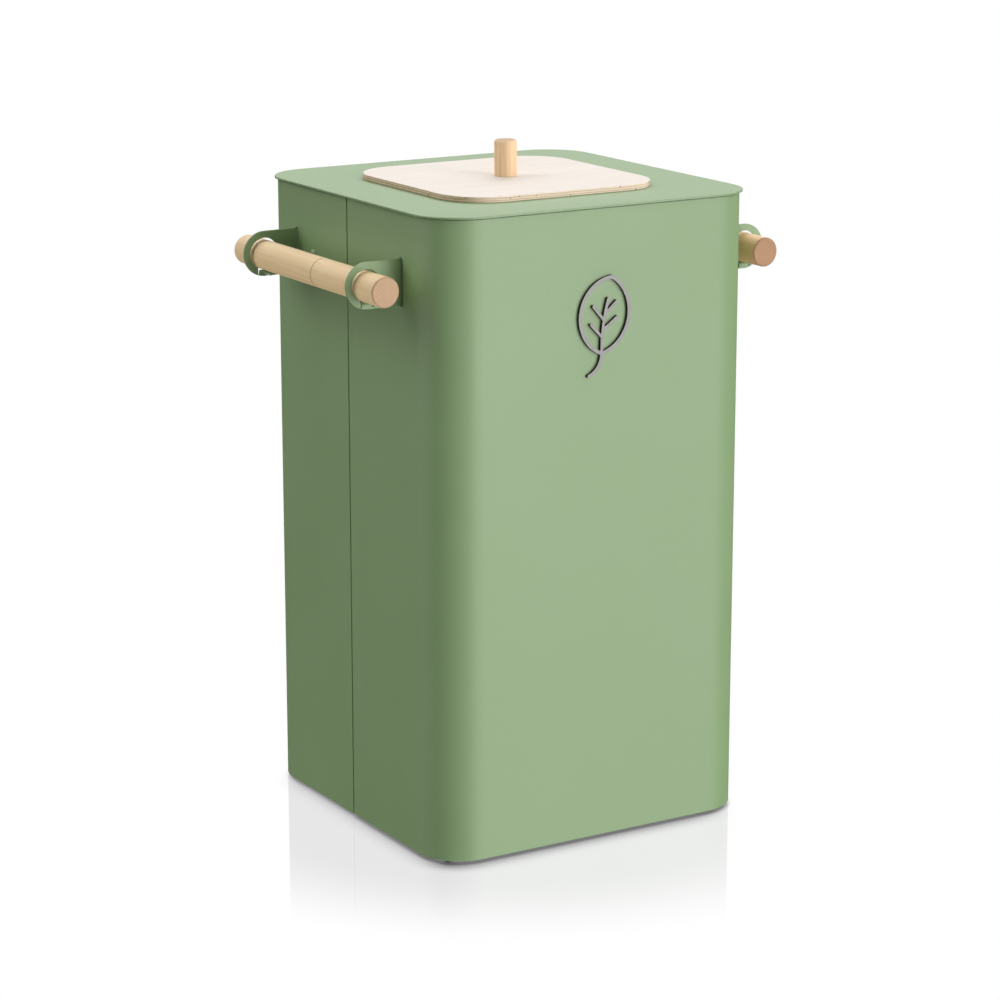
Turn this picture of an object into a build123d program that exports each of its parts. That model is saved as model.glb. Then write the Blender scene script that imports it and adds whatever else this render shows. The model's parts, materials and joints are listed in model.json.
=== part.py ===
# Square sheet-steel recycling bin with a plywood lid, a wooden knob and two wooden side handles.
# Millimetres, +Z up. Origin on the floor, at the middle of the bin's footprint.
# +Y is the back, -Y the front. The body splits at the middle of its depth:
# the rear half stands still and carries the base tray and the bag frame,
# the hood (front shell and top cover) draws forward off it, and the lid lifts off the cover.
from build123d import *
import os
import math

os.makedirs("parts", exist_ok=True)

# ---------------------------------------------------------------- driving dimensions
body_w = 350.0          # outside width of the shells, X
body_d = 350.0          # outside depth of the shells, Y
corner_r = 45.0         # outside radius of the upright corners
sheet = 1.2             # shell sheet
foot_gap = 3.0          # floor to the shells' bottom edge
cover_top = 619.0       # top face of the cover plate
cover_t = 2.0
cover_over = 3.0        # cover overhang past the shells
cover_gap = 1.3         # the rear shell's top edge to the cover
front_gap = 1.1         # the front shell's top edge to the cover
seam_gap = 2.0          # upright gap between the two shells
seam_recess = 1.3       # seam strips behind the front shell's inner face
flange_w = 12.0         # turned-in flanges

throat = 200.0          # square opening in the cover
throat_r = 34.0
collar_depth = 25.0

lid_size = 228.0
lid_r = 47.0
ply = 5.5
locator_size = 193.0
locator_t = 6.0
knob_d = 22.0
knob_h = 35.0

handle_x = 211.0        # handle axis from the middle plane
ring_z = 551.9          # ring centre height
dowel_z = 550.9         # dowel centre height: it rests on the screw tabs
dowel_d = 28.6
dowel_half = 139.0      # middle plane to each dowel end
dowel_joint_y = -20.0   # where the two dowel pieces meet
groove_y = 98.0
bracket_t = 2.0
bracket_y = 102.5       # middle of the bracket sheet
ring_r = 22.0
ring_hole_r = 15.4
rivet_y = 69.0
rivet_head_r = 6.0
slit_w = 7.2            # slits for the handle brackets

tray_z = 5.2            # underside of the base tray
tray_t = 1.2
tray_rim = 14.0
foot_r = 12.0

hoop_z = 578.0          # bag frame height
hoop_half = 128.0
wire_r = 3.0

emblem_z = 505.0        # middle of the emblem
emblem_t = 3.0
stroke = 3.4

iw = body_w - 2 * sheet     # inside width
idp = body_d - 2 * sheet    # inside depth
ir = corner_r - sheet
cover_under = cover_top - cover_t
rear_top = cover_under - cover_gap
front_top = cover_under - front_gap
half_w = body_w / 2

made = []


def keep(part, name):
    part.label = name
    export_step(part, "parts/" + name + ".step")
    made.append(name)


# ---------------------------------------------------------------- rear shell: U of sheet, turned in at the top
with BuildPart() as rear_shell:
    with BuildSketch(Plane.XY.offset(foot_gap)):
        RectangleRounded(body_w, body_d, corner_r)
        RectangleRounded(iw, idp, ir, mode=Mode.SUBTRACT)
    extrude(amount=rear_top - foot_gap)
    with BuildSketch(Plane.XY.offset(rear_top - sheet)):
        RectangleRounded(body_w - sheet, body_d - sheet, corner_r - sheet / 2)
        RectangleRounded(iw - 2 * flange_w, idp - 2 * flange_w, ir - flange_w, mode=Mode.SUBTRACT)
    extrude(amount=sheet)
    with BuildSketch(Plane.XY):
        with Locations((0, seam_gap / 2 - 200)):
            Rectangle(400, 400)
    extrude(amount=700, mode=Mode.SUBTRACT)
    # slits for the handle brackets and holes for their rivets, through both side walls
    with BuildSketch(Plane.YZ):
        with Locations((bracket_y, ring_z)):
            SlotOverall(46.4, slit_w, rotation=90)
        with Locations((rivet_y, ring_z)):
            Circle(2.1)
    extrude(amount=300, both=True, mode=Mode.SUBTRACT)
keep(rear_shell.part, "rear_shell")

# ---------------------------------------------------------------- front shell: the mirror U, turned in at top and toe;
# the top flange steps up to the cover behind a narrow shadow gap
with BuildPart() as front_shell:
    with BuildSketch(Plane.XY.offset(foot_gap)):
        RectangleRounded(body_w, body_d, corner_r)
        RectangleRounded(iw, idp, ir, mode=Mode.SUBTRACT)
    extrude(amount=front_top - foot_gap)
    with BuildSketch(Plane.XY.offset(front_top - sheet)):
        RectangleRounded(body_w - sheet, body_d - sheet, corner_r - sheet / 2)
        RectangleRounded(iw - 2 * flange_w, idp - 2 * flange_w, ir - flange_w, mode=Mode.SUBTRACT)
    extrude(amount=sheet)
    with BuildSketch(Plane.XY.offset(front_top - sheet)):
        RectangleRounded(iw - 5, idp - 5, ir - 2.5)
        RectangleRounded(iw - 2 * flange_w, idp - 2 * flange_w, ir - flange_w, mode=Mode.SUBTRACT)
    extrude(amount=cover_under - front_top + sheet)
    with BuildSketch(Plane.XY.offset(foot_gap)):
        RectangleRounded(body_w - sheet, body_d - sheet, corner_r - sheet / 2)
        RectangleRounded(iw - 2 * flange_w, idp - 2 * flange_w, ir - flange_w, mode=Mode.SUBTRACT)
    extrude(amount=sheet)
    with BuildSketch(Plane.XY):
        with Locations((0, 200 - seam_gap / 2)):
            Rectangle(400, 400)
    extrude(amount=700, mode=Mode.SUBTRACT)
    with BuildSketch(Plane.YZ):
        with Locations((-bracket_y, ring_z)):
            SlotOverall(46.4, slit_w, rotation=90)
        with Locations((-rivet_y, ring_z)):
            Circle(2.1)
    extrude(amount=300, both=True, mode=Mode.SUBTRACT)
    # holes for the emblem's studs
    with BuildSketch(Plane.XZ.offset(half_w + 1)):
        with Locations((-3, emblem_z - 24.5), (3.6, emblem_z + 25)):
            Circle(1.3)
    extrude(amount=-6, mode=Mode.SUBTRACT)
    # rolled lower edge
    toe = [e for e in front_shell.edges() if abs(e.center().Z - foot_gap) < 0.01
           and max(abs(e.center().X), abs(e.center().Y)) > half_w - 20
           and (abs(abs(e.center().X) - half_w) < 0.01 or abs(abs(e.center().Y) - half_w) < 0.01
                or (e.geom_type == GeomType.CIRCLE and abs(e.radius - corner_r) < 0.01))]
    fillet(toe, radius=0.9)
keep(front_shell.part, "front_shell")

# ---------------------------------------------------------------- top cover plate with its square opening
with BuildPart() as top_cover:
    with BuildSketch(Plane.XY.offset(cover_under)):
        RectangleRounded(body_w + 2 * cover_over, body_d + 2 * cover_over, corner_r + cover_over)
        RectangleRounded(throat, throat, throat_r, mode=Mode.SUBTRACT)
    extrude(amount=cover_t)
    fillet(top_cover.edges().group_by(Axis.Z)[-1], radius=0.6)
keep(top_cover.part, "top_cover")

# ---------------------------------------------------------------- throat collar, welded under the cover around the opening
with BuildPart() as throat_collar:
    with BuildSketch(Plane.XY.offset(cover_under - collar_depth)):
        RectangleRounded(throat + 2.4, throat + 2.4, throat_r + 1.2)
        RectangleRounded(throat, throat, throat_r, mode=Mode.SUBTRACT)
    extrude(amount=collar_depth)
    with BuildSketch(Plane.XY.offset(cover_under - sheet)):
        RectangleRounded(throat + 18, throat + 18, throat_r + 9)
        RectangleRounded(throat, throat, throat_r, mode=Mode.SUBTRACT)
    extrude(amount=sheet)
keep(throat_collar.part, "throat_collar")

# ---------------------------------------------------------------- base tray: floor of the bin, welded to the rear shell by its rim
with BuildPart() as base_tray:
    with BuildSketch(Plane.XY.offset(tray_z)):
        RectangleRounded(iw, idp, ir)
        with Locations((0, 2 - 200)):
            Rectangle(400, 400, mode=Mode.SUBTRACT)
        RectangleRounded(iw - 2.4, idp - 2.4, ir - 1.2)
    extrude(amount=tray_rim)
    with BuildSketch(Plane.XY.offset(tray_z + tray_t)):
        RectangleRounded(iw - 2 * tray_t, idp - 2 * tray_t, ir - tray_t)
        with Locations((0, 2 + tray_t - 200)):
            Rectangle(400, 400, mode=Mode.SUBTRACT)
        RectangleRounded(iw - 2.4 - 2 * tray_t, idp - 2.4 - 2 * tray_t, ir - 1.2 - tray_t)
    extrude(amount=tray_rim, mode=Mode.SUBTRACT)
    # screw holes over the feet
    with BuildSketch(Plane.XY.offset(tray_z)):
        with GridLocations(260, 240, 2, 2):
            Circle(2.1)
    extrude(amount=tray_t, mode=Mode.SUBTRACT)
keep(base_tray.part, "base_tray")

# ---------------------------------------------------------------- rubber feet and the screws that hold them
with BuildPart() as base_feet:
    with BuildSketch(Plane.XY):
        with GridLocations(260, 240, 2, 2):
            Circle(foot_r)
    extrude(amount=tray_z)
    chamfer(base_feet.edges().group_by(Axis.Z)[0], length=0.8)
    with BuildSketch(Plane.XY.offset(2.0)):
        with GridLocations(260, 240, 2, 2):
            Circle(2.05)
    extrude(amount=tray_z, mode=Mode.SUBTRACT)
keep(base_feet.part, "base_feet")

with BuildPart() as foot_screws:
    with BuildSketch(Plane.XY.offset(2.2)):
        with GridLocations(260, 240, 2, 2):
            Circle(2.0)
    extrude(amount=tray_z + tray_t - 2.2)
    with BuildSketch(Plane.XY.offset(tray_z + tray_t)):
        with GridLocations(260, 240, 2, 2):
            Circle(4.0)
    extrude(amount=2.2)
    fillet(foot_screws.edges().group_by(Axis.Z)[-1], radius=1.0)
keep(foot_screws.part, "foot_screws")

# ---------------------------------------------------------------- seam strips: joggled strips inside the rear shell that line the hood up
with BuildPart() as seam_strips:
    with BuildSketch(Plane.XY.offset(24)):
        with BuildLine():
            Polyline((half_w - sheet, 26), (half_w - sheet, 6), (half_w - sheet - seam_recess, 3.5),
                     (half_w - sheet - seam_recess, -10), (half_w - sheet - seam_recess - 0.6, -13),
                     (half_w - sheet - seam_recess - 1.5, -13), (half_w - sheet - seam_recess - 1.5, 3.5),
                     (half_w - sheet - 1.5, 6), (half_w - sheet - 1.5, 26),
                     (half_w - sheet, 26))
        make_face()
    extrude(amount=576)
    mirror(about=Plane.YZ)
keep(seam_strips.part, "seam_strips")

# ---------------------------------------------------------------- rear bracket, right: flange inside the wall, arm out through the slit, ring
by0 = bracket_y - bracket_t / 2     # face towards the middle
by1 = bracket_y + bracket_t / 2
wx = half_w - sheet                 # inner face of the wall
bend = 1.5
with BuildPart() as rear_bracket_right:
    with BuildSketch(Plane.XY.offset(ring_z - ring_r)):
        with BuildLine():
            l1 = Line((wx, 60), (wx, by0 - bend))
            l2 = RadiusArc(l1 @ 1, (wx + bend, by0), bend)
            l3 = Line(l2 @ 1, (handle_x, by0))
            l4 = Line(l3 @ 1, (handle_x, by1))
            l5 = Line(l4 @ 1, (wx + bend, by1))
            l6 = RadiusArc(l5 @ 1, (wx - bracket_t, by0 - bend), -(bend + bracket_t))
            l7 = Line(l6 @ 1, (wx - bracket_t, 60))
            Line(l7 @ 1, l1 @ 0)
        make_face()
    extrude(amount=2 * ring_r)
    # the flange is lower than the arm
    with BuildSketch(Plane.YZ.offset(wx - bracket_t - 1)):
        with Locations((77, ring_z + 20), (77, ring_z - 20)):
            Rectangle(42, 10)
    extrude(amount=bracket_t + 1.2, mode=Mode.SUBTRACT)
    # ring
    with BuildSketch(Plane.XZ.offset(-by1)):
        with Locations((handle_x, ring_z)):
            Circle(ring_r)
    extrude(amount=bracket_t)
    with BuildSketch(Plane.XZ.offset(-by1 - 1)):
        with Locations((handle_x, ring_z)):
            Circle(ring_hole_r)
        with Locations((handle_x, ring_z - 15.4)):
            Rectangle(14, 10)
    extrude(amount=bracket_t + 2, mode=Mode.SUBTRACT)
    # screw tab, bent towards the middle under the dowel
    tab_top = dowel_z - dowel_d / 2 - 0.05
    tab_low = ring_z - 20.4 - 0.6
    with BuildSketch(Plane.YZ.offset(handle_x - 5.5)):
        with BuildLine():
            t1 = Line((by1, tab_low), (by1, tab_top - 3.5))
            t2 = RadiusArc(t1 @ 1, (by1 - 3.5, tab_top), -3.5)
            t3 = Line(t2 @ 1, (by1 - 17, tab_top))
            t4 = Line(t3 @ 1, (by1 - 17, tab_top - bracket_t))
            t5 = Line(t4 @ 1, (by0 - 1.5, tab_top - bracket_t))
            t6 = RadiusArc(t5 @ 1, (by0, tab_top - bracket_t - 1.5), 1.5)
            t7 = Line(t6 @ 1, (by0, tab_low))
            Line(t7 @ 1, t1 @ 0)
        make_face()
    extrude(amount=11)
    # screw hole in the tab and rivet hole in the flange
    with BuildSketch(Plane.XY.offset(tab_top - 4)):
        with Locations((handle_x, by1 - 10.5)):
            Circle(2.2)
    extrude(amount=5, mode=Mode.SUBTRACT)
    with BuildSketch(Plane.YZ.offset(wx - bracket_t - 1)):
        with Locations((rivet_y, ring_z)):
            Circle(2.1)
    extrude(amount=bracket_t + 1, mode=Mode.SUBTRACT)
    # eased outer edges of the ring and arm
    rim = [e for e in rear_bracket_right.edges()
           if (e.geom_type == GeomType.CIRCLE and abs(e.radius - ring_r) < 0.01)
           or (e.geom_type == GeomType.LINE and abs(abs(e.center().Z - ring_z) - ring_r) < 0.01
               and abs((e @ 0).Y - (e @ 1).Y) < 0.01 and e.center().X > half_w
               and min(abs(e.center().Y - by0), abs(e.center().Y - by1)) < 0.01)]
    fillet(rim, radius=0.4)
keep(rear_bracket_right.part, "rear_bracket_right")

with BuildPart() as rear_bracket_left:
    mirror(rear_bracket_right.part, about=Plane.YZ)
keep(rear_bracket_left.part, "rear_bracket_left")

with BuildPart() as front_bracket_right:
    mirror(rear_bracket_right.part, about=Plane.XZ)
keep(front_bracket_right.part, "front_bracket_right")

with BuildPart() as front_bracket_left:
    mirror(front_bracket_right.part, about=Plane.YZ)
keep(front_bracket_left.part, "front_bracket_left")

# ---------------------------------------------------------------- domed rivets that hold the bracket flanges
with BuildPart() as rear_bracket_rivets:
    with BuildSketch(Plane.XY.offset(ring_z)):
        with BuildLine():
            r1 = Line((half_w, rivet_y), (half_w + 2.4, rivet_y))
            r2 = ThreePointArc(r1 @ 1, (half_w + 1.85, rivet_y + 0.57 * rivet_head_r), (half_w + 0.4, rivet_y + rivet_head_r))
            r3 = Line(r2 @ 1, (half_w, rivet_y + rivet_head_r))
            r4 = Line(r3 @ 1, (half_w, rivet_y + 2.0))
            r5 = Line(r4 @ 1, (wx - bracket_t, rivet_y + 2.0))
            r6 = Line(r5 @ 1, (wx - bracket_t, rivet_y + 3.2))
            r7 = Line(r6 @ 1, (wx - bracket_t - 2.4, rivet_y + 2.6))
            r8 = Line(r7 @ 1, (wx - bracket_t - 2.4, rivet_y))
            Line(r8 @ 1, r1 @ 0)
        make_face()
    revolve(axis=Axis((0, rivet_y, ring_z), (1, 0, 0)))
    mirror(about=Plane.YZ)
keep(rear_bracket_rivets.part, "rear_bracket_rivets")

with BuildPart() as front_bracket_rivets:
    mirror(rear_bracket_rivets.part, about=Plane.XZ)
keep(front_bracket_rivets.part, "front_bracket_rivets")

# ---------------------------------------------------------------- handle dowels, each handle in two pieces with a magnet in each meeting face
screw_y = by1 - 10.5
joint_rear = dowel_joint_y + 0.2
joint_front = dowel_joint_y - 0.2
magnet_r = 5.0
magnet_l = 5.0

with BuildPart() as rear_dowel_right:
    with BuildSketch(Plane.XZ.offset(-joint_rear)):
        with Locations((handle_x, dowel_z)):
            Circle(dowel_d / 2)
    extrude(amount=-(dowel_half - joint_rear))
    chamfer(rear_dowel_right.edges().group_by(Axis.Y)[-1], length=1.3)
    chamfer(rear_dowel_right.edges().group_by(Axis.Y)[0], length=0.35)
    with BuildSketch(Plane.XZ.offset(-groove_y + 0.8)):
        with Locations((handle_x, dowel_z)):
            Circle(dowel_d / 2 + 1)
            Circle(dowel_d / 2 - 0.8, mode=Mode.SUBTRACT)
    extrude(amount=-1.6, mode=Mode.SUBTRACT)
    with BuildSketch(Plane.XZ.offset(-joint_rear)):
        with Locations((handle_x, dowel_z)):
            Circle(magnet_r + 0.05)
    extrude(amount=-(magnet_l + 0.1), mode=Mode.SUBTRACT)
    with BuildSketch(Plane.XY.offset(dowel_z - dowel_d / 2 - 1)):
        with Locations((handle_x, screw_y)):
            Circle(1.95)
    extrude(amount=15, mode=Mode.SUBTRACT)
keep(rear_dowel_right.part, "rear_dowel_right")

with BuildPart() as rear_dowel_left:
    mirror(rear_dowel_right.part, about=Plane.YZ)
keep(rear_dowel_left.part, "rear_dowel_left")

with BuildPart() as front_dowel_right:
    with BuildSketch(Plane.XZ.offset(-joint_front)):
        with Locations((handle_x, dowel_z)):
            Circle(dowel_d / 2)
    extrude(amount=dowel_half + joint_front)
    chamfer(front_dowel_right.edges().group_by(Axis.Y)[0], length=1.3)
    chamfer(front_dowel_right.edges().group_by(Axis.Y)[-1], length=0.35)
    with BuildSketch(Plane.XZ.offset(groove_y - 0.8)):
        with Locations((handle_x, dowel_z)):
            Circle(dowel_d / 2 + 1)
            Circle(dowel_d / 2 - 0.8, mode=Mode.SUBTRACT)
    extrude(amount=1.6, mode=Mode.SUBTRACT)
    with BuildSketch(Plane.XZ.offset(-joint_front)):
        with Locations((handle_x, dowel_z)):
            Circle(magnet_r + 0.05)
    extrude(amount=magnet_l + 0.1, mode=Mode.SUBTRACT)
    with BuildSketch(Plane.XY.offset(dowel_z - dowel_d / 2 - 1)):
        with Locations((handle_x, -screw_y)):
            Circle(1.95)
    extrude(amount=15, mode=Mode.SUBTRACT)
keep(front_dowel_right.part, "front_dowel_right")

with BuildPart() as front_dowel_left:
    mirror(front_dowel_right.part, about=Plane.YZ)
keep(front_dowel_left.part, "front_dowel_left")

with BuildPart() as rear_dowel_magnets:
    with BuildSketch(Plane.XZ.offset(-joint_rear)):
        with Locations((handle_x, dowel_z), (-handle_x, dowel_z)):
            Circle(magnet_r)
    extrude(amount=-magnet_l)
keep(rear_dowel_magnets.part, "rear_dowel_magnets")

with BuildPart() as front_dowel_magnets:
    with BuildSketch(Plane.XZ.offset(-joint_front)):
        with Locations((handle_x, dowel_z), (-handle_x, dowel_z)):
            Circle(magnet_r)
    extrude(amount=magnet_l)
keep(front_dowel_magnets.part, "front_dowel_magnets")

# pan-head screws from below, through the tabs into the dowels
with BuildPart() as rear_dowel_screws:
    with BuildSketch(Plane.XY.offset(tab_top - bracket_t)):
        with Locations((handle_x, screw_y), (-handle_x, screw_y)):
            Circle(1.9)
    extrude(amount=14.5)
    with BuildSketch(Plane.XY.offset(tab_top - bracket_t - 2.6)):
        with Locations((handle_x, screw_y), (-handle_x, screw_y)):
            Circle(4.0)
    extrude(amount=2.6)
    fillet(rear_dowel_screws.edges().group_by(Axis.Z)[0], radius=1.4)
    with BuildSketch(Plane.XY.offset(tab_top - bracket_t - 2.7)):
        with Locations((handle_x, screw_y), (-handle_x, screw_y)):
            RegularPolygon(1.5, 6)
    extrude(amount=1.5, mode=Mode.SUBTRACT)
keep(rear_dowel_screws.part, "rear_dowel_screws")

with BuildPart() as front_dowel_screws:
    mirror(rear_dowel_screws.part, about=Plane.XZ)
keep(front_dowel_screws.part, "front_dowel_screws")

# ---------------------------------------------------------------- bag frame: a wire hoop on four cleats
with BuildPart() as bag_frame:
    with BuildSketch(Plane.XY.offset(hoop_z), mode=Mode.PRIVATE) as hoop_outline:
        RectangleRounded(2 * hoop_half, 2 * hoop_half, 38)
    hoop_path = hoop_outline.sketch.faces()[0].outer_wire()
    with BuildSketch(Plane(origin=(0, hoop_half, hoop_z), x_dir=(0, 1, 0), z_dir=(1, 0, 0))):
        Circle(wire_r)
    sweep(path=hoop_path)
keep(bag_frame.part, "bag_frame")

with BuildPart() as bag_frame_cleats:
    # back pair: flange on the back wall, shelf under the wire
    with BuildSketch(Plane.YZ.offset(60)):
        with BuildLine():
            Polyline((body_d / 2 - sheet, hoop_z - wire_r), (body_d / 2 - sheet, hoop_z - wire_r - 26),
                     (body_d / 2 - sheet - 2, hoop_z - wire_r - 26), (body_d / 2 - sheet - 2, hoop_z - wire_r - 6),
                     (body_d / 2 - sheet - 6, hoop_z - wire_r - 2), (hoop_half - 6, hoop_z - wire_r - 2),
                     (hoop_half - 6, hoop_z - wire_r), (body_d / 2 - sheet, hoop_z - wire_r))
        make_face()
    extrude(amount=22)
    # side pair, close to the front edge of the rear shell
    with BuildSketch(Plane.XZ.offset(-32)):
        with BuildLine():
            Polyline((half_w - sheet, hoop_z - wire_r), (half_w - sheet, hoop_z - wire_r - 26),
                     (half_w - sheet - 2, hoop_z - wire_r - 26), (half_w - sheet - 2, hoop_z - wire_r - 6),
                     (half_w - sheet - 6, hoop_z - wire_r - 2), (hoop_half - 6, hoop_z - wire_r - 2),
                     (hoop_half - 6, hoop_z - wire_r), (half_w - sheet, hoop_z - wire_r))
        make_face()
    extrude(amount=-22)
    mirror(about=Plane.YZ)
keep(bag_frame_cleats.part, "bag_frame_cleats")

# thin pads on the rear shell's top flange, which keep the cover off the paint
with BuildPart() as cover_pads:
    with BuildSketch(Plane.XY.offset(rear_top)):
        with Locations((95, body_d / 2 - sheet - 6), (-95, body_d / 2 - sheet - 6)):
            SlotOverall(24, 8)
        with Locations((half_w - sheet - 6, 60), (-(half_w - sheet - 6), 60)):
            SlotOverall(24, 8, rotation=90)
    extrude(amount=0.9)
keep(cover_pads.part, "cover_pads")

# ---------------------------------------------------------------- hood glides under the toe flange's front corners
gl = body_w / 2 - corner_r + 37.0 * math.cos(math.radians(45))
with BuildPart() as hood_glides:
    with BuildSketch(Plane.XY):
        with Locations((gl, -gl), (-gl, -gl)):
            Circle(5.0)
    extrude(amount=foot_gap)
    chamfer(hood_glides.edges().group_by(Axis.Z)[0], length=0.6)
keep(hood_glides.part, "hood_glides")

# ---------------------------------------------------------------- leaf emblem: one cut plate, raised off the front
with BuildPart() as emblem_leaf:
    tip = (8, emblem_z + 46.5)
    foot = (-3, emblem_z - 25)
    with BuildSketch(Plane.XZ.offset(half_w)):
        for mid, end, w in (((-26.5, emblem_z + 15), tip, stroke), ((26.5, emblem_z + 6), tip, stroke),
                            ((-6.5, emblem_z - 37), (-17, emblem_z - 45.5), stroke),
                            ((-1.0, emblem_z + 4), (4.0, emblem_z + 26), stroke - 0.4)):
            with BuildLine(mode=Mode.PRIVATE) as run:
                ThreePointArc(foot, mid, end)
            SlotArc(run.line.edges()[0], w)
        for a, b in (((-2.4, emblem_z - 10), (-15.0, emblem_z + 3.0)), ((-0.6, emblem_z + 6), (-12.5, emblem_z + 20.0)),
                     ((-1.6, emblem_z - 3), (13.8, emblem_z + 8.0)), ((0.6, emblem_z + 12), (13.2, emblem_z + 23.0))):
            with Locations(((a[0] + b[0]) / 2, (a[1] + b[1]) / 2)):
                SlotCenterToCenter(math.dist(a, b), stroke - 0.8,
                                   rotation=math.degrees(math.atan2(b[1] - a[1], b[0] - a[0])))
    extrude(amount=emblem_t)
    # studs through the shell
    with BuildSketch(Plane.XZ.offset(half_w)):
        with Locations((-3, emblem_z - 24.5), (3.6, emblem_z + 25)):
            Circle(1.25)
    extrude(amount=-6.0)
keep(emblem_leaf.part, "emblem_leaf")

# push nuts on the emblem's studs, inside the shell
with BuildPart() as emblem_nuts:
    with BuildSketch(Plane.XZ.offset(half_w - sheet)):
        with Locations((-3, emblem_z - 24.5), (3.6, emblem_z + 25)):
            Circle(4.5)
            Circle(1.3, mode=Mode.SUBTRACT)
    extrude(amount=-1.5)
    chamfer(emblem_nuts.edges().group_by(Axis.Y)[-1].filter_by(lambda e: e.radius > 4), length=0.8)
keep(emblem_nuts.part, "emblem_nuts")

# ---------------------------------------------------------------- lid: plywood board, knob, locating board and screws
with BuildPart() as lid_board:
    with BuildSketch(Plane.XY.offset(cover_top)):
        RectangleRounded(lid_size, lid_size, lid_r)
        Circle(1.95, mode=Mode.SUBTRACT)
    extrude(amount=ply)
    with BuildSketch(Plane.XY.offset(cover_top)):
        with GridLocations(140, 140, 2, 2):
            Circle(1.55)
    extrude(amount=4.2, mode=Mode.SUBTRACT)
    fillet(lid_board.edges().group_by(Axis.Z)[-1].filter_by(lambda e: e.length > 20), radius=0.9)
    fillet(lid_board.edges().group_by(Axis.Z)[0].filter_by(lambda e: e.length > 20), radius=0.5)
keep(lid_board.part, "lid_board")

with BuildPart() as lid_knob:
    with BuildSketch(Plane.XY.offset(cover_top + ply)):
        Circle(knob_d / 2)
    extrude(amount=knob_h)
    fillet(lid_knob.edges().group_by(Axis.Z)[-1], radius=2.2)
    with BuildSketch(Plane.XY.offset(cover_top + ply)):
        Circle(1.75)
    extrude(amount=26, mode=Mode.SUBTRACT)
keep(lid_knob.part, "lid_knob")

with BuildPart() as lid_locator:
    with BuildSketch(Plane.XY.offset(cover_top - locator_t)):
        RectangleRounded(locator_size, locator_size, 31)
    extrude(amount=locator_t)
    chamfer(lid_locator.edges().group_by(Axis.Z)[0], length=1.5)
    with Locations((0, 0, cover_top - locator_t)):
        with Locations(Location((0, 0, 0), (180, 0, 0))):
            CounterSinkHole(radius=1.95, counter_sink_radius=4.1, counter_sink_angle=90, depth=locator_t)
        with Locations(Location((70, 70, 0), (180, 0, 0)), Location((-70, 70, 0), (180, 0, 0)),
                       Location((70, -70, 0), (180, 0, 0)), Location((-70, -70, 0), (180, 0, 0))):
            CounterSinkHole(radius=1.7, counter_sink_radius=3.5, counter_sink_angle=90, depth=locator_t)
keep(lid_locator.part, "lid_locator")

with BuildPart() as knob_screw:
    with BuildSketch(Plane.XZ):
        with BuildLine():
            z0 = cover_top - locator_t
            Polyline((0, z0 + 0.6), (1.2, z0), (4.0, z0), (4.0, z0 + 0.1), (1.9, z0 + 2.2), (1.9, cover_top + ply),
                     (1.7, cover_top + ply), (1.7, cover_top + ply + 20), (0.4, cover_top + ply + 24),
                     (0, cover_top + ply + 24), (0, z0 + 0.6))
        make_face()
    revolve(axis=Axis.Z)
keep(knob_screw.part, "knob_screw")

with BuildPart() as locator_screws:
    with BuildSketch(Plane.XY.offset(cover_top - locator_t)):
        with GridLocations(140, 140, 2, 2):
            Circle(3.3)
    extrude(amount=1.8, taper=45)
    with BuildSketch(Plane.XY.offset(cover_top - locator_t + 0.5)):
        with GridLocations(140, 140, 2, 2):
            Circle(1.5)
    extrude(amount=locator_t - 0.5 + 4.0)
keep(locator_screws.part, "locator_screws")

for n in made:
    print(n)
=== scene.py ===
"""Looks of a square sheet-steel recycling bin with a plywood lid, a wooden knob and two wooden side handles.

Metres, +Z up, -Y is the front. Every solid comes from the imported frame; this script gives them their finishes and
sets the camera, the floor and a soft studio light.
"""

import json
import math

import bmesh
import bpy
from mathutils import Matrix, Vector

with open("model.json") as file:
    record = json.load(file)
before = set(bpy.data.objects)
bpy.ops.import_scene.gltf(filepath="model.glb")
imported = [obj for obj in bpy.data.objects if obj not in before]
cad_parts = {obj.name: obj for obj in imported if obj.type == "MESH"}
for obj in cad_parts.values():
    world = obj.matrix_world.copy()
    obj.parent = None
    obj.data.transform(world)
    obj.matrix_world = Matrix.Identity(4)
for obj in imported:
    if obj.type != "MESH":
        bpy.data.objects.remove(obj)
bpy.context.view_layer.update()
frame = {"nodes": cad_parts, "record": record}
nodes = frame["nodes"]
scene = bpy.context.scene

# ------------------------------------------------------------------ camera
AZIMUTH, PITCH, FOCAL_PX = -31.1963, 14.1461, 3137.8
a, e = math.radians(AZIMUTH), math.radians(PITCH)
back = Vector((math.sin(a) * math.cos(e), -math.cos(a) * math.cos(e), math.sin(e)))
right = Vector((math.cos(a), math.sin(a), 0.0))
up = back.cross(right)
cam_data = bpy.data.cameras.new("camera")
cam_data.sensor_fit = "HORIZONTAL"
cam_data.sensor_width = 36.0
cam_data.lens = FOCAL_PX * 36.0 / 1000.0
cam_data.clip_start, cam_data.clip_end = 0.05, 200.0
cam = bpy.data.objects.new("camera", cam_data)
cam.matrix_world = Matrix((
    (right.x, up.x, back.x, -1.5707),
    (right.y, up.y, back.y, -2.5837),
    (right.z, up.z, back.z, 1.0624),
    (0, 0, 0, 1)))
scene.collection.objects.link(cam)
scene.camera = cam


# ------------------------------------------------------------------ node helpers
def srgb(r, g, b):
    """An 8-bit display colour as linear values."""
    return tuple((v / 255 / 12.92 if v / 255 <= 0.04045 else ((v / 255 + 0.055) / 1.055) ** 2.4) for v in (r, g, b)) + (1.0,)


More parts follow.
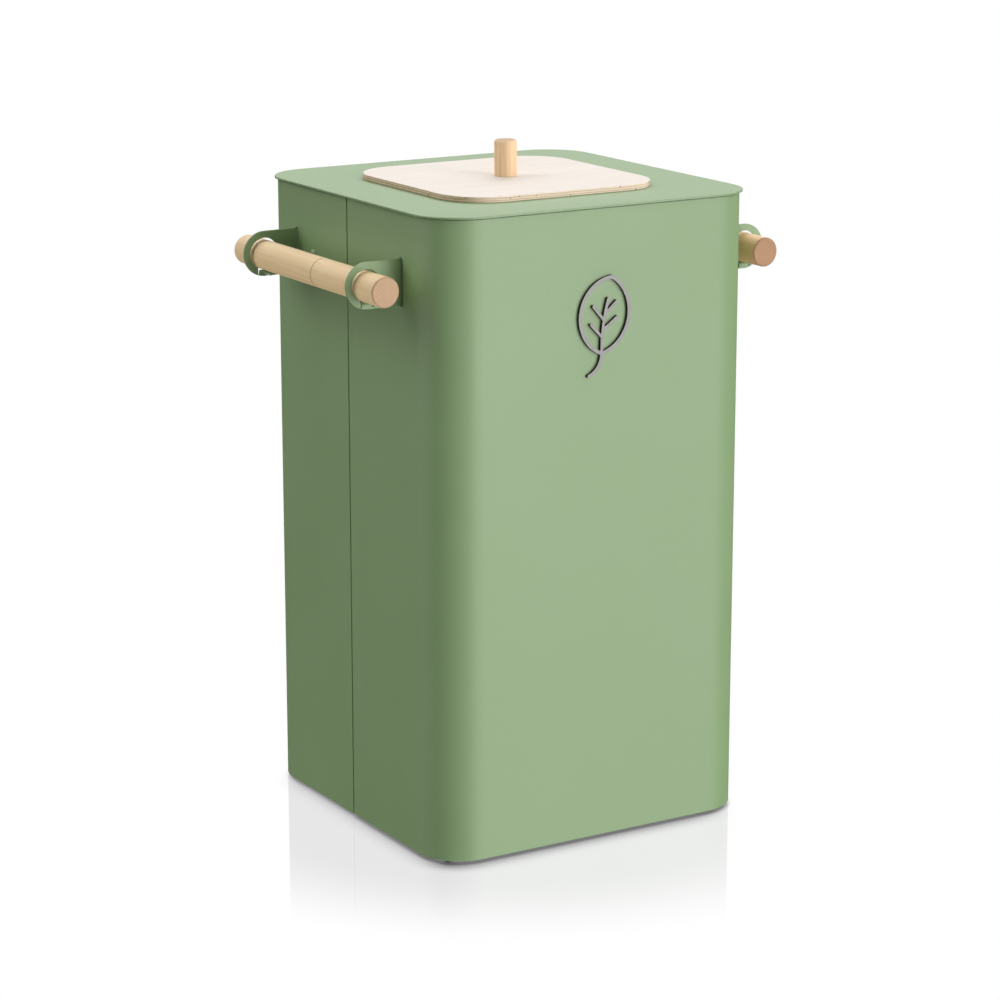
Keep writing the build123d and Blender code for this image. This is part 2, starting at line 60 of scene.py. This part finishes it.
class Graph:
    """A material's node tree, with short calls for the nodes used here."""

    def __init__(self, name):
        self.material = bpy.data.materials.new(name)
        self.material.use_nodes = True
        self.tree = self.material.node_tree
        self.tree.nodes.clear()
        self.out = self.tree.nodes.new("ShaderNodeOutputMaterial")
        self.bsdf = self.tree.nodes.new("ShaderNodeBsdfPrincipled")
        self.tree.links.new(self.bsdf.outputs[0], self.out.inputs[0])

    def node(self, kind, **settings):
        n = self.tree.nodes.new(kind)
        for k, v in settings.items():
            setattr(n, k, v)
        return n

    def put(self, value, socket):
        if isinstance(value, bpy.types.NodeSocket):
            self.tree.links.new(value, socket)
        elif value is not None:
            socket.default_value = value

    def place(self):
        return self.node("ShaderNodeTexCoord").outputs["Object"]

    def facing(self):
        """The surface normal in the piece's own space."""
        return self.node("ShaderNodeTexCoord").outputs["Normal"]

    def scaled(self, vector, scale, move=(0, 0, 0)):
        n = self.node("ShaderNodeMapping")
        self.put(vector, n.inputs["Vector"])
        n.inputs["Scale"].default_value = scale
        n.inputs["Location"].default_value = move
        return n.outputs["Vector"]

    def noise(self, vector, scale, detail=2.0, roughness=0.5, distortion=0.0):
        n = self.node("ShaderNodeTexNoise")
        self.put(vector, n.inputs["Vector"])
        n.inputs["Scale"].default_value = scale
        n.inputs["Detail"].default_value = detail
        n.inputs["Roughness"].default_value = roughness
        n.inputs["Distortion"].default_value = distortion
        return n.outputs["Fac"]

    def range(self, value, low, high, to_low=0.0, to_high=1.0, smooth=False):
        n = self.node("ShaderNodeMapRange")
        if smooth:
            n.interpolation_type = "SMOOTHSTEP"
        self.put(value, n.inputs["Value"])
        for k, v in (("From Min", low), ("From Max", high), ("To Min", to_low), ("To Max", to_high)):
            n.inputs[k].default_value = v
        return n.outputs["Result"]

    def math(self, operation, first, second=None, clamp=False):
        n = self.node("ShaderNodeMath", operation=operation, use_clamp=clamp)
        self.put(first, n.inputs[0])
        if second is not None:
            self.put(second, n.inputs[1])
        return n.outputs[0]

    def vmath(self, operation, first, second=None):
        n = self.node("ShaderNodeVectorMath", operation=operation)
        self.put(first, n.inputs[0])
        if second is not None:
            self.put(second, n.inputs[1])
        return n.outputs["Value"] if operation in ("DOT_PRODUCT", "LENGTH") else n.outputs["Vector"]

    def split(self, vector):
        n = self.node("ShaderNodeSeparateXYZ")
        self.put(vector, n.inputs[0])
        return n.outputs[0], n.outputs[1], n.outputs[2]

    def mix(self, factor, first, second, kind="MIX"):
        n = self.node("ShaderNodeMix", data_type="RGBA", blend_type=kind)
        self.put(factor, n.inputs[0])
        self.put(first, n.inputs[6])
        self.put(second, n.inputs[7])
        return n.outputs[2]

    def ramp(self, value, *stops):
        n = self.node("ShaderNodeValToRGB")
        self.put(value, n.inputs[0])
        ramp = n.color_ramp
        while len(ramp.elements) < len(stops):
            ramp.elements.new(0.5)
        for el, (at, colour) in zip(ramp.elements, stops):
            el.position, el.color = at, colour
        return n.outputs[0]

    def bump(self, height, distance, strength=1.0, normal=None):
        n = self.node("ShaderNodeBump")
        self.put(height, n.inputs["Height"])
        n.inputs["Distance"].default_value = distance
        n.inputs["Strength"].default_value = strength
        if normal is not None:
            self.put(normal, n.inputs["Normal"])
        return n.outputs["Normal"]

    def edge(self, radius, samples=4):
        """(0 on flats to 1 on outer edges, the rounded normal)"""
        bevel = self.node("ShaderNodeBevel", samples=samples)
        bevel.inputs["Radius"].default_value = radius
        plain = self.node("ShaderNodeNewGeometry").outputs["Normal"]
        dot = self.vmath("DOT_PRODUCT", bevel.outputs[0], plain)
        return self.range(dot, 0.995, 0.86), bevel.outputs[0]

    def finish(self, colour=None, roughness=None, metallic=None, normal=None, specular=None):
        self.put(colour, self.bsdf.inputs["Base Color"])
        self.put(roughness, self.bsdf.inputs["Roughness"])
        self.put(metallic, self.bsdf.inputs["Metallic"])
        self.put(specular, self.bsdf.inputs["Specular IOR Level"])
        self.put(normal, self.bsdf.inputs["Normal"])
        return self.material


# ------------------------------------------------------------------ finishes
GREEN = (0.173, 0.276, 0.115, 1.0)
GREEN_DEEP = (0.168, 0.269, 0.111, 1.0)
GREEN_PALE = (0.196, 0.298, 0.134, 1.0)


def powder_coat(name, peel=1.0):
    """Fine-grained matte powder coat: a soft orange-peel skin, faint cloudiness and a paler line painted on the edges
    as a highlight.
    """
    g = Graph(name)
    at = g.place()
    cloud = g.noise(at, 9.0, 3.0, 0.55)
    grain = g.noise(at, 1400.0, 1.0, 0.6)
    skin = g.noise(at, 620.0, 2.0, 0.55)
    fine = g.noise(at, 2300.0, 1.0, 0.5)
    edge, _ = g.edge(0.0008)
    colour = g.mix(g.range(cloud, 0.35, 0.65), GREEN_DEEP, GREEN)
    colour = g.mix(g.range(grain, 0.30, 0.72, 0.0, 0.16), colour, GREEN_PALE)
    # painted highlight: the edges are mixed towards the paler green
    colour = g.mix(g.math("MULTIPLY", edge, 0.55), colour, GREEN_PALE)
    rough = g.math("ADD", g.range(skin, 0.3, 0.7, 0.47, 0.55), g.range(cloud, 0.35, 0.65, 0.0, 0.04))
    rough = g.math("SUBTRACT", rough, g.math("MULTIPLY", edge, 0.06))
    height = g.math("ADD", skin, g.math("MULTIPLY", fine, 0.35))
    return g.finish(colour, rough, 0.0, g.bump(height, 0.00006 * peel, 0.55), 1.0)


def turned_wood(name, axis, tones, seed=0.0, cap_from=0.45, cap_full=0.66):
    """Pale sanded hardwood, its grain along the axis: soft streaks, short dark flecks, darker end grain."""
    deep, middle, light, pinkish = tones
    g = Graph(name)
    at = g.place()
    long = [1.0, 1.0, 1.0]
    long[axis] = 0.035
    fleck_long = [1.0, 1.0, 1.0]
    fleck_long[axis] = 0.16
    along = g.scaled(at, long, (seed, seed * 1.7, seed * 0.6))
    streak = g.noise(along, 300.0, 3.0, 0.6, 0.35)
    fibre = g.noise(along, 1500.0, 2.0, 0.6)
    patch = g.noise(g.scaled(at, long, (seed + 3, 0, 0)), 95.0, 1.5, 0.5)
    fleck = g.noise(g.scaled(at, fleck_long, (seed, 2, seed)), 1150.0, 1.0, 0.5)
    knot = g.noise(g.scaled(at, fleck_long, (7, seed, 1)), 330.0, 0.0, 0.4)
    colour = g.ramp(streak, (0.30, deep), (0.50, middle), (0.70, light))
    colour = g.mix(g.range(patch, 0.35, 0.68, 0.0, 0.5), colour, pinkish)
    colour = g.mix(g.range(fibre, 0.42, 0.75, 0.0, 0.16), colour, srgb(204, 160, 112))
    colour = g.mix(g.range(fleck, 0.665, 0.74, 0.0, 0.24), colour, srgb(176, 126, 82))
    colour = g.mix(g.range(knot, 0.76, 0.84, 0.0, 0.16), colour, srgb(170, 118, 74))
    # end grain
    n = g.split(g.facing())[axis]
    end = g.range(g.math("ABSOLUTE", n), cap_from, cap_full, smooth=True)
    shift = [0.0, 0.0, 0.0]
    cross = g.scaled(at, (1, 1, 1), (0.0, 0.0, 0.0))
    bend = g.noise(cross, 60.0, 2.0, 0.5)
    wave = g.node("ShaderNodeTexWave", wave_type="BANDS", bands_direction="DIAGONAL", wave_profile="SAW")
    wave.inputs["Scale"].default_value = 150.0
    wave.inputs["Distortion"].default_value = 2.2
    wave.inputs["Detail"].default_value = 2.0
    wave.inputs["Detail Scale"].default_value = 0.35
    g.put(at, wave.inputs["Vector"])
    pore = g.noise(at, 2600.0, 1.0, 0.5)
    cap = g.ramp(wave.outputs["Fac"], (0.0, srgb(185, 153, 122)), (0.6, srgb(183, 150, 118)), (1.0, srgb(176, 141, 108)))
    cap = g.mix(g.range(pore, 0.45, 0.75, 0.0, 0.30), cap, srgb(158, 121, 89))
    cap = g.mix(g.range(bend, 0.35, 0.65, 0.0, 0.3), cap, srgb(191, 159, 130))
    # painted shade: the right-hand handle's end cap is painted darker and its shaft warmer, a shaded copy of the same
    # wood for the less-lit handle on the right side
    right_handle_painted_shade = g.range(g.split(at)[0], 0.05, 0.15)
    cap = g.mix(right_handle_painted_shade, cap, g.mix(1.0, cap, (0.83, 0.72, 0.64, 1.0), "MULTIPLY"))
    colour = g.mix(right_handle_painted_shade, colour, g.mix(1.0, colour, (1.10, 0.97, 0.88, 1.0), "MULTIPLY"))
    colour = g.mix(end, colour, cap)
    edge, _ = g.edge(0.0009)
    # painted shade: the rounded edges are darkened to a brown line
    colour = g.mix(g.math("MULTIPLY", edge, 0.50), colour, srgb(170, 122, 80))
    rough = g.range(streak, 0.3, 0.7, 0.62, 0.50)
    height = g.math("ADD", g.math("MULTIPLY", fibre, 0.8), g.math("MULTIPLY", fleck, -0.35))
    return g.finish(colour, rough, 0.0, g.bump(height, 0.00007, 0.45), 0.36)


def plywood(name, low, thick):
    """Birch plywood lying flat: a very pale face with faint grain along X, and open plies on the edge."""
    g = Graph(name)
    at = g.place()
    x, y, z = g.split(at)
    nx, ny, nz = g.split(g.facing())
    along = g.scaled(at, (0.06, 1.0, 1.0))
    streak = g.noise(along, 150.0, 3.5, 0.6, 0.6)
    fibre = g.noise(along, 1300.0, 2.0, 0.6)
    cloud = g.noise(g.scaled(at, (0.35, 1.0, 1.0)), 22.0, 2.0, 0.5)
    face = g.ramp(streak, (0.30, srgb(213, 203, 193)), (0.55, srgb(218, 209, 201)), (0.75, srgb(222, 214, 207)))
    face = g.mix(g.range(cloud, 0.35, 0.7, 0.0, 0.4), face, srgb(215, 206, 196))
    face = g.mix(g.range(fibre, 0.5, 0.8, 0.0, 0.26), face, srgb(202, 186, 167))
    fleck = g.noise(g.scaled(at, (0.12, 1.0, 1.0), (5, 2, 0)), 900.0, 0.0, 0.5)
    face = g.mix(g.range(fleck, 0.72, 0.78, 0.0, 0.35), face, srgb(182, 152, 122))
    # plies: 0 under, 1 on top
    t = g.range(z, low, low + thick)
    wobble = g.noise(g.scaled(at, (1, 1, 0)), 90.0, 1.0, 0.5)
    t = g.math("ADD", t, g.range(wobble, 0.3, 0.7, -0.02, 0.02))
    level = g.math("MULTIPLY", t, 5.0)
    within = g.math("FRACT", level)
    odd = g.math("MODULO", g.math("FLOOR", level), 2.0)
    side_x = g.range(g.math("ABSOLUTE", nx), 0.45, 0.85, smooth=True)
    # where the grain of a ply meets the edge square on, it is browner
    square_on = g.math("ABSOLUTE", g.math("SUBTRACT", odd, g.math("SUBTRACT", 1.0, side_x)))
    square_on = g.math("SUBTRACT", 1.0, square_on)
    edge_fibre = g.noise(g.scaled(at, (1.0, 1.0, 0.25)), 900.0, 2.0, 0.6)
    long_ply = g.mix(g.range(edge_fibre, 0.3, 0.7), srgb(219, 204, 180), srgb(210, 191, 163))
    end_ply = g.mix(g.range(edge_fibre, 0.3, 0.7), srgb(191, 165, 131), srgb(169, 139, 105))
    side_rim = g.mix(square_on, long_ply, end_ply)
    # painted light: the Y-facing edges get a much paler copy of the ply colours than the side edges, and fainter glue
    # lines, as if lit
    painted_lit_front_rim = g.mix(square_on, srgb(250, 230, 214), srgb(228, 198, 169))
    painted_lit_front = g.range(g.math("ABSOLUTE", ny), 0.62, 0.92, smooth=True)
    rim = g.mix(painted_lit_front, side_rim, painted_lit_front_rim)
    glue = g.math("MAXIMUM", g.range(within, 0.90, 0.97), g.range(within, 0.08, 0.02))
    rim = g.mix(g.math("MULTIPLY", glue, g.range(painted_lit_front, 0.0, 1.0, 0.55, 0.25)), rim, srgb(128, 92, 62))
    void = g.noise(g.scaled(at, (1.0, 1.0, 1.6), (3, 1, 0)), 260.0, 1.0, 0.5)
    rim = g.mix(g.range(void, 0.70, 0.74, 0.0, 0.75), rim, srgb(74, 56, 40))
    flat = g.range(g.math("ABSOLUTE", nz), 0.55, 0.80, smooth=True)
    colour = g.mix(flat, rim, face)
    rough = g.range(streak, 0.3, 0.7, 0.66, 0.56)
    height = g.math("ADD", g.math("MULTIPLY", fibre, 0.7), g.math("MULTIPLY", g.math("MULTIPLY", glue, g.math("SUBTRACT", 1.0, flat)), -1.2))
    return g.finish(colour, rough, 0.0, g.bump(height, 0.00007, 0.45), 0.35)


def fastener_steel(name, base=(0.60, 0.60, 0.61, 1.0), rough=(0.24, 0.40)):
    g = Graph(name)
    at = g.place()
    cloud = g.noise(at, 420.0, 3.0, 0.6)
    scratch = g.noise(g.scaled(at, (1.0, 0.15, 0.15)), 3200.0, 1.0, 0.5)
    edge, _ = g.edge(0.0003)
    dark = tuple(v * 0.74 for v in base[:3]) + (1.0,)
    painted_highlight_tone = tuple(min(1.0, v * 1.2) for v in base[:3]) + (1.0,)
    colour = g.mix(g.range(cloud, 0.35, 0.7), base, dark)
    # painted highlight: the edges are mixed towards a lighter steel
    colour = g.mix(g.math("MULTIPLY", edge, 0.6), colour, painted_highlight_tone)
    roughness = g.math("ADD", g.range(cloud, 0.3, 0.7, *rough), g.range(scratch, 0.3, 0.7, 0.0, 0.08))
    return g.finish(colour, roughness, 1.0, g.bump(scratch, 0.00002, 0.4), 0.5)


def satin_emblem(name):
    """Cut plate: a satin grey face with faint brushing, and its walls painted near-black green as shade."""
    g = Graph(name)
    at = g.place()
    nx, ny, nz = g.split(g.facing())
    brush = g.noise(g.scaled(at, (1.0, 1.0, 0.06)), 1900.0, 2.0, 0.6)
    cloud = g.noise(at, 150.0, 2.0, 0.5)
    wall_streak = g.noise(g.scaled(at, (1.0, 0.08, 1.0)), 1600.0, 2.0, 0.6)
    face = g.mix(g.range(brush, 0.3, 0.7), srgb(128, 125, 125), srgb(116, 113, 113))
    face = g.mix(g.range(cloud, 0.35, 0.7, 0.0, 0.5), face, srgb(122, 118, 117))
    # painted shade: the plate's walls are painted near-black green
    painted_shade_wall = g.mix(g.range(wall_streak, 0.3, 0.7), srgb(34, 40, 26), srgb(20, 24, 15))
    front = g.range(g.math("ABSOLUTE", ny), 0.60, 0.85, smooth=True)
    colour = g.mix(front, painted_shade_wall, face)
    rough = g.math("ADD", g.range(brush, 0.3, 0.7, 0.40, 0.50), g.math("MULTIPLY", g.math("SUBTRACT", 1.0, front), 0.15))
    metal = g.range(front, 0.0, 1.0, 0.15, 0.60)
    return g.finish(colour, rough, metal, g.bump(brush, 0.00003, 0.4), 0.5)


def black_rubber(name, rough=(0.72, 0.86), tone=0.030):
    g = Graph(name)
    at = g.place()
    dust = g.noise(at, 180.0, 3.0, 0.6)
    pits = g.noise(at, 2200.0, 1.0, 0.5)
    edge, _ = g.edge(0.0006)
    colour = g.mix(g.range(dust, 0.35, 0.75), (tone, tone, tone * 0.98, 1), (tone * 1.9, tone * 1.85, tone * 1.75, 1))
    # painted highlight: the edges are mixed towards a lighter grey
    colour = g.mix(g.math("MULTIPLY", edge, 0.4), colour, (tone * 3.2, tone * 3.1, tone * 3.0, 1))
    return g.finish(colour, g.range(pits, 0.3, 0.7, *rough), 0.0, g.bump(pits, 0.00005, 0.5), 0.4)


COAT = powder_coat("green_powder_coat")
COAT_WIRE = powder_coat("green_powder_coat_on_wire", 0.7)
WOOD_Y = turned_wood("turned_wood_handle", 1, (srgb(222, 192, 144), srgb(228, 200, 154), srgb(232, 208, 164), srgb(227, 197, 157)))
WOOD_Z = turned_wood("turned_wood_knob", 2, (srgb(219, 181, 139), srgb(230, 197, 156), srgb(239, 212, 173), srgb(228, 194, 157)), 4.3, 0.80, 0.95)
PLY_LID = plywood("birch_plywood_lid", 0.619, 0.0055)
PLY_LOCATOR = plywood("birch_plywood_locator", 0.613, 0.006)
ZINC = fastener_steel("zinc_plated_steel")
NICKEL = fastener_steel("nickel_plate", (0.72, 0.70, 0.66, 1.0), (0.14, 0.24))
EMBLEM = satin_emblem("satin_cut_plate")
RUBBER = black_rubber("moulded_rubber")
GLIDE = black_rubber("moulded_plastic", (0.42, 0.55), 0.080)

FINISH = {
    "green_powder_coat": COAT, "turned_wood": WOOD_Y, "birch_plywood": PLY_LID, "steel_fasteners": ZINC,
    "magnet_nickel": NICKEL, "foot_rubber": RUBBER, "glide_plastic": GLIDE, "frame_wire": COAT_WIRE, "emblem_metal": EMBLEM,
}
SLOT_OF = {s["node"]: s["material_slot"] for s in frame["record"]["subparts"]}
for name, ob in nodes.items():
    finish = FINISH[SLOT_OF[name]]
    if name == "lid_knob":
        finish = WOOD_Z
    if name == "lid_locator":
        finish = PLY_LOCATOR
    ob.data.materials.clear()
    ob.data.materials.append(finish)
    for p in ob.data.polygons:
        p.material_index = 0

# ------------------------------------------------------------------ floor
def flat_floor(half):
    bm = bmesh.new()
    rings = [0.0, 0.4, 0.9, 2.0, 5.0, half]
    verts = {}
    steps = sorted({-r for r in rings} | set(rings))
    for i, x in enumerate(steps):
        for j, y in enumerate(steps):
            verts[i, j] = bm.verts.new((x, y, 0.0))
    for i in range(len(steps) - 1):
        for j in range(len(steps) - 1):
            bm.faces.new((verts[i, j], verts[i + 1, j], verts[i + 1, j + 1], verts[i, j + 1]))
    me = bpy.data.meshes.new("floor")
    bm.to_mesh(me)
    bm.free()
    ob = bpy.data.objects.new("floor", me)
    scene.collection.objects.link(ob)
    return ob


floor = flat_floor(60.0)
floor.location.z = -0.0002
floor.visible_diffuse = False
floor.visible_glossy = False
floor.visible_shadow = False
floor.visible_transmission = False


def pale_floor():
    """A white glowing floor with painted shade: a soft painted shadow where the bin hides the light from behind
    right, a thin painted contact shadow all around, and a faint mirror image that fades out around the bin."""
    mat = bpy.data.materials.new("pale_floor")
    mat.use_nodes = True
    t = mat.node_tree
    t.nodes.clear()

    def node(kind, **settings):
        n = t.nodes.new(kind)
        for k, v in settings.items():
            setattr(n, k, v)
        return n

    def span(value, low, high, to_low, to_high, smooth=False):
        n = node("ShaderNodeMapRange", interpolation_type="SMOOTHSTEP" if smooth else "LINEAR")
        t.links.new(value, n.inputs["Value"])
        for k, v in (("From Min", low), ("From Max", high), ("To Min", to_low), ("To Max", to_high)):
            n.inputs[k].default_value = v
        return n.outputs["Result"]

    from_behind = node("ShaderNodeCombineXYZ")
    for k, v in zip("XYZ", (0.6400, 0.7600, 0.1000)):
        from_behind.inputs[k].default_value = v
    cast = node("ShaderNodeAmbientOcclusion", samples=32)
    cast.inputs["Distance"].default_value = 0.034
    t.links.new(from_behind.outputs[0], cast.inputs["Normal"])
    curve = node("ShaderNodeValToRGB")
    stops = ((0.47, 0.20), (0.53, 0.33), (0.57, 0.47), (0.61, 0.62), (0.65, 0.76), (0.70, 0.89), (0.77, 0.965), (0.86, 1.0))
    while len(curve.color_ramp.elements) < len(stops):
        curve.color_ramp.elements.new(0.5)
    for el, (at, tone) in zip(curve.color_ramp.elements, stops):
        el.position, el.color = at, (tone, tone, tone, 1.0)
    t.links.new(cast.outputs["AO"], curve.inputs[0])
    close = node("ShaderNodeAmbientOcclusion", samples=16)
    close.inputs["Distance"].default_value = 0.006
    # painted contact shadow: a thin dark line on the floor close to the bin
    line = span(close.outputs["AO"], 0.50, 0.92, 0.62, 1.0)
    shading = node("ShaderNodeMath", operation="MULTIPLY")
    t.links.new(curve.outputs["Color"], shading.inputs[0])
    t.links.new(line, shading.inputs[1])
    shade = shading.outputs[0]
    away = node("ShaderNodeVectorMath", operation="LENGTH")
    t.links.new(node("ShaderNodeTexCoord").outputs["Object"], away.inputs[0])
    near = span(away.outputs["Value"], 0.255, 0.430, 1.0, 0.0, smooth=True)

    def tinted(colour):
        n = node("ShaderNodeVectorMath", operation="SCALE")
        n.inputs[0].default_value = colour
        return n

    mirror_share = (0.258, 0.290, 0.243)
    mirror = node("ShaderNodeBsdfGlossy")
    mirror.inputs["Roughness"].default_value = 0.0
    share = tinted(mirror_share)
    both = node("ShaderNodeMath", operation="MULTIPLY")
    t.links.new(near, both.inputs[0])
    t.links.new(shade, both.inputs[1])
    t.links.new(both.outputs[0], share.inputs["Scale"])
    t.links.new(share.outputs["Vector"], mirror.inputs["Color"])
    less = tinted(mirror_share)
    t.links.new(near, less.inputs["Scale"])
    rest = node("ShaderNodeVectorMath", operation="SUBTRACT")
    rest.inputs[0].default_value = (1.0, 1.0, 1.0)
    t.links.new(less.outputs["Vector"], rest.inputs[1])
    glow = node("ShaderNodeEmission")
    t.links.new(rest.outputs["Vector"], glow.inputs["Color"])
    t.links.new(shade, glow.inputs["Strength"])
    total = node("ShaderNodeAddShader")
    t.links.new(glow.outputs[0], total.inputs[0])
    t.links.new(mirror.outputs[0], total.inputs[1])
    out = node("ShaderNodeOutputMaterial")
    t.links.new(total.outputs[0], out.inputs[0])
    return mat


floor.data.materials.append(pale_floor())

# ------------------------------------------------------------------ light
world = bpy.data.worlds.new("studio")
scene.world = world
world.use_nodes = True
w = world.node_tree
w.nodes.clear()
w_out = w.nodes.new("ShaderNodeOutputWorld")
w_seen = w.nodes.new("ShaderNodeBackground")
w_seen.inputs["Color"].default_value = (1, 1, 1, 1)
w_light = w.nodes.new("ShaderNodeBackground")
w_light.inputs["Color"].default_value = (1, 1, 1, 1)
w_path = w.nodes.new("ShaderNodeLightPath")
w_mix = w.nodes.new("ShaderNodeMixShader")
w_white = w.nodes.new("ShaderNodeMath")      # the backdrop is white for the camera and in the floor's mirror image
w_white.operation = "MAXIMUM"
w.links.new(w_path.outputs["Is Camera Ray"], w_white.inputs[0])
w.links.new(w_path.outputs["Is Singular Ray"], w_white.inputs[1])
w.links.new(w_white.outputs[0], w_mix.inputs[0])
w.links.new(w_light.outputs[0], w_mix.inputs[1])
w.links.new(w_seen.outputs[0], w_mix.inputs[2])
w.links.new(w_mix.outputs[0], w_out.inputs[0])
w_dir = w.nodes.new("ShaderNodeTexCoord").outputs["Generated"]


def glow_patch(direction, half_angle, soft, radiance):
    """A soft round patch of light far away in that direction."""
    d = Vector(direction).normalized()
    dot = w.nodes.new("ShaderNodeVectorMath")
    dot.operation = "DOT_PRODUCT"
    w.links.new(w_dir, dot.inputs[0])
    dot.inputs[1].default_value = d
    r = w.nodes.new("ShaderNodeMapRange")
    r.interpolation_type = "SMOOTHSTEP"
    w.links.new(dot.outputs["Value"], r.inputs["Value"])
    r.inputs["From Min"].default_value = math.cos(math.radians(half_angle + soft))
    r.inputs["From Max"].default_value = math.cos(math.radians(max(0.0, half_angle - soft)))
    r.inputs["To Min"].default_value = 0.0
    r.inputs["To Max"].default_value = radiance
    return r.outputs["Result"]


def direction(azimuth, elevation):
    """Azimuth 0 is the front, 90 the right-hand side, -90 the left."""
    az, el = math.radians(azimuth), math.radians(elevation)
    return (math.sin(az) * math.cos(el), -math.cos(az) * math.cos(el), math.sin(el))


PATCHES = [
    (direction(30, 4), 17, 13, 4.42),
    (direction(12, 0), 8, 4, 2.01),
    (direction(24, 0), 8, 4, 2.03),
    (direction(12, -24), 8, 4, 1.72),
    (direction(24, -24), 8, 4, 1.05),
    (direction(-30, 4), 17, 13, 1.40),
    (direction(30, 40), 17, 13, 2.57),
    (direction(30, -32), 17, 13, 0.95),
    (direction(90, 40), 17, 13, 1.39),
    (direction(90, 4), 17, 13, 0.80),
    (direction(120, 40), 17, 13, 1.92),
    (direction(150, 40), 17, 13, 2.19),
    (direction(180, 40), 17, 13, 1.30),
    (direction(-150, 40), 17, 13, 1.85),
    (direction(-120, 40), 17, 13, 2.60),
    (direction(-120, 4), 17, 13, 1.22),
    (direction(-120, -62), 17, 13, 0.86),
    (direction(-60, -62), 17, 13, 1.04),
    (direction(0, -90), 17, 13, 2.49),
]
level = None
for p in PATCHES:
    s = glow_patch(*p)
    if level is None:
        level = s
    else:
        add = w.nodes.new("ShaderNodeMath")
        w.links.new(level, add.inputs[0])
        w.links.new(s, add.inputs[1])
        level = add.outputs[0]
base = w.nodes.new("ShaderNodeMath")
w.links.new(level, base.inputs[0])
base.inputs[1].default_value = 0.0
w.links.new(base.outputs[0], w_light.inputs["Strength"])


scene.view_settings.view_transform = "Standard"
scene.view_settings.look = "None"
scene.view_settings.exposure = 0.0
scene.view_settings.gamma = 1.0
scene.cycles.use_denoising = True
